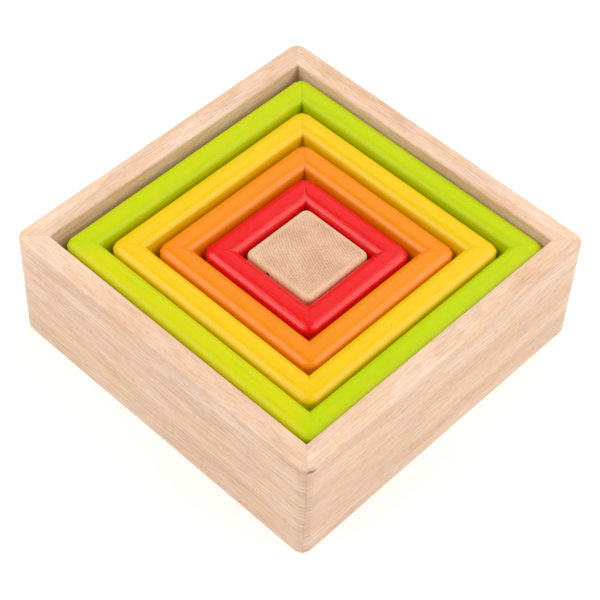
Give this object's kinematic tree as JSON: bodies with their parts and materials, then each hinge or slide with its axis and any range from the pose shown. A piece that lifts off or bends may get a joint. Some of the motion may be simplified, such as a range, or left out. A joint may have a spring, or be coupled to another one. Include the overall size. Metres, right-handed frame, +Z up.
{
  "type": "nesting squares toy",
  "caption": "Wooden nesting toy: painted square frames sit one inside another around a plain block in a shallow square beech tray, and lift out to stack.",
  "frame": {"origin": "on the surface the tray stands on, under the middle of the tray", "axes": "+Z up, the way the frames lift out; X and Y along the tray's sides, with the front wall on the -Y side and the right wall on the +X side"},
  "size_m": [0.175, 0.175, 0.06],
  "materials": {
    "beech_tray": "bare, finely sanded beech",
    "plywood_floor": "bare plywood",
    "green_paint": "smooth gloss paint, lime green, on beech",
    "yellow_paint": "smooth gloss paint, golden yellow, on beech",
    "orange_paint": "smooth gloss paint, orange, on beech",
    "red_paint": "smooth gloss paint, red, on beech",
    "beech_block": "bare, finely sanded beech, end grain on top"
  },
  "bodies": {
    "tray": {"tray_wall_front": "beech_tray", "tray_wall_right": "beech_tray", "tray_wall_back": "beech_tray", "tray_wall_left": "beech_tray", "tray_floor": "plywood_floor"},
    "green_frame": {"green_rail_front": "green_paint", "green_rail_right": "green_paint", "green_rail_back": "green_paint", "green_rail_left": "green_paint"},
    "yellow_frame": {"yellow_rail_front": "yellow_paint", "yellow_rail_right": "yellow_paint", "yellow_rail_back": "yellow_paint", "yellow_rail_left": "yellow_paint"},
    "orange_frame": {"orange_rail_front": "orange_paint", "orange_rail_right": "orange_paint", "orange_rail_back": "orange_paint", "orange_rail_left": "orange_paint"},
    "red_frame": {"red_rail_front": "red_paint", "red_rail_right": "red_paint", "red_rail_back": "red_paint", "red_rail_left": "red_paint"},
    "block": {"centre_block": "beech_block"}
  },
  "joints": [
    {"name": "green_frame_lift", "type": "slide", "parent": "tray", "child": "green_frame", "axis": [0, 0, 1], "range_m": [0, 0.063]},
    {"name": "yellow_frame_lift", "type": "slide", "parent": "tray", "child": "yellow_frame", "axis": [0, 0, 1], "range_m": [0, 0.063]},
    {"name": "orange_frame_lift", "type": "slide", "parent": "tray", "child": "orange_frame", "axis": [0, 0, 1], "range_m": [0, 0.063]},
    {"name": "red_frame_lift", "type": "slide", "parent": "tray", "child": "red_frame", "axis": [0, 0, 1], "range_m": [0, 0.063]},
    {"name": "block_lift", "type": "slide", "parent": "tray", "child": "block", "axis": [0, 0, 1], "range_m": [0, 0.063]}
  ]
}
